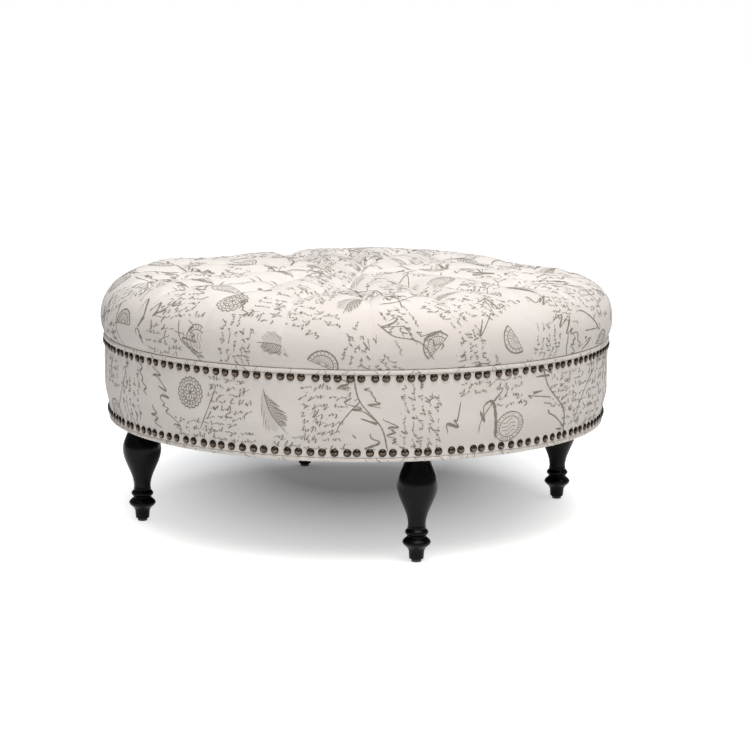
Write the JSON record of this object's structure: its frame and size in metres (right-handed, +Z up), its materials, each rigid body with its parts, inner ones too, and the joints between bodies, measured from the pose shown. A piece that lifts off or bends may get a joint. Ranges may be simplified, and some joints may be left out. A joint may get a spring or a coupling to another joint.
{
  "type": "tufted ottoman",
  "caption": "Round button-tufted ottoman: crowned cushion top over an upholstered drum with two rows of decorative nails, on four turned legs.",
  "frame": {"origin": "on the floor under the middle of the ottoman", "axes": "+Z up; the legs stand on the diagonals between +X and +Y"},
  "size_m": [0.8996, 0.8996, 0.44],
  "materials": {
    "lacquered_wood": "black satin lacquer",
    "glide_plastic": "plain moulded",
    "zinc_steel": "zinc plated",
    "plywood": "raw plywood",
    "softwood": "raw softwood",
    "panel_board": "raw bending board",
    "polyester_wadding": "bonded polyester wadding",
    "linen_print": "linen-look cotton weave with a grey printed pattern",
    "piping_cord": "twisted cotton cord",
    "antique_bronze": "dark antique bronze",
    "foam": "polyurethane upholstery foam",
    "waxed_twine": "waxed tufting twine",
    "black_cambric": "thin nonwoven cambric"
  },
  "bodies": {
    "root": {"leg_front_left": "lacquered_wood", "leg_front_right": "lacquered_wood", "leg_back_left": "lacquered_wood", "leg_back_right": "lacquered_wood", "foot_glides": "glide_plastic", "hanger_bolts": "zinc_steel", "leg_inserts": "zinc_steel", "leg_blocks": "softwood", "base_ring": "plywood", "frame_posts": "softwood", "deck_board": "plywood", "frame_screws": "zinc_steel", "side_panel": "panel_board", "side_padding": "polyester_wadding", "side_cover": "linen_print", "top_welt": "linen_print", "top_welt_cord": "piping_cord", "bottom_welt": "linen_print", "bottom_welt_cord": "piping_cord", "upper_nails": "antique_bronze", "lower_nails": "antique_bronze", "crown_foam": "foam", "crown_batting": "polyester_wadding", "crown_cover": "linen_print", "tuft_buttons": "linen_print", "tufting_twine": "waxed_twine", "twine_staples": "zinc_steel", "welt_staples": "zinc_steel", "dust_cover": "black_cambric", "dust_cover_staples": "zinc_steel"}
  },
  "joints": []
}
